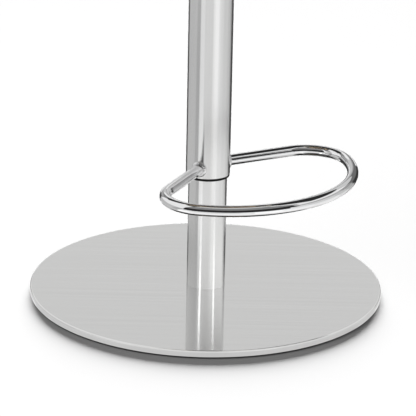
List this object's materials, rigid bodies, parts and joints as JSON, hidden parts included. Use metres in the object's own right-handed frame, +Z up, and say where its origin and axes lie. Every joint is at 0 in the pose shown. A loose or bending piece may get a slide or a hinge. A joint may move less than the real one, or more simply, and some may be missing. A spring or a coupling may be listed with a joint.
{
  "type": "salon stool",
  "caption": "Round padded salon stool on a satin disc base, with a two-tube gas-lift column, a bent-tube footrest loop and a lift lever.",
  "frame": {"origin": "on the floor, under the centre of the disc base, at the column's axis", "axes": "+Z up along the column, -Y towards the footrest's bow, which is the sitter's front, -X towards the lift lever"},
  "size_m": [0.4099, 0.41, 0.6166],
  "materials": {
    "satin_stainless": "fine satin, brushed one way, lightly mirrored",
    "chrome": "bright polished chrome plate",
    "plain_steel": "plain machined or zinc-plated steel",
    "light_alloy": "turned aluminium",
    "black_paint": "semi-matt black powder coat",
    "black_plastic": "moulded, fine texture",
    "black_rubber": "matt",
    "plywood": "bare birch plywood",
    "seat_foam": "open-cell foam",
    "cream_leatherette": "soft pebbled leatherette",
    "dust_cloth": "black spun-bonded cloth"
  },
  "bodies": {
    "base": {"floor_ring": "black_rubber", "ballast_plate": "plain_steel", "base_cover": "satin_stainless", "base_screws": "plain_steel", "lower_column": "chrome", "column_foot_plug": "plain_steel", "column_guide_bush": "black_plastic", "bearing_lower_race": "plain_steel"},
    "bearing": {"bearing_cage": "black_plastic", "bearing_balls": "plain_steel"},
    "rod": {"piston_rod": "plain_steel", "bearing_upper_race": "plain_steel", "rod_washer": "plain_steel", "rod_clip": "plain_steel", "bump_stop": "black_rubber", "piston": "light_alloy", "piston_ring": "black_rubber"},
    "carriage": {"pressure_tube": "plain_steel", "inner_cylinder": "plain_steel", "rod_guide": "light_alloy", "rod_seal": "black_rubber", "valve_body": "light_alloy", "sleeve_tube": "chrome", "sleeve_glide_bush": "black_plastic", "sleeve_top_plug": "plain_steel", "footrest_bar": "chrome", "footrest_welds": "chrome", "taper_socket": "black_paint", "mechanism_pan": "black_paint", "lever_bracket": "black_paint", "lever_pivot_pin": "plain_steel", "seat_board": "plywood", "tee_nuts": "plain_steel", "seat_screws": "plain_steel", "seat_washers": "plain_steel", "seat_foam": "seat_foam", "seat_cover": "cream_leatherette", "seat_piping": "cream_leatherette", "dust_cover": "dust_cloth"},
    "lever": {"lever_rod": "chrome", "lever_grip": "black_plastic"},
    "valve": {"valve_pin": "plain_steel"}
  },
  "joints": [
    {"name": "swivel", "type": "hinge", "parent": "base", "child": "rod", "pos_m": [0, 0, 0.0346], "axis": [0, 0, 1], "continuous": true},
    {"name": "cage_roll", "type": "hinge", "parent": "base", "child": "bearing", "pos_m": [0, 0, 0.0359], "axis": [0, 0, 1], "continuous": true},
    {"name": "lift", "type": "slide", "parent": "rod", "child": "carriage", "axis": [0, 0, 1], "range_m": [0, 0.2]},
    {"name": "lever_lift", "type": "hinge", "parent": "carriage", "child": "lever", "pos_m": [-0.025, 0, 0.5261], "axis": [0, 1, 0], "range_deg": [0, 9], "stiffness_Nm_per_rad": 4},
    {"name": "valve_press", "type": "slide", "parent": "carriage", "child": "valve", "axis": [0, 0, -1], "range_m": [0, 0.0045]}
  ],
  "couplings": [
    {"joint": "cage_roll", "follows": "swivel", "ratio": 0.5},
    {"joint": "valve_press", "follows": "lever_lift", "m_per_rad": 0.0286}
  ]
}
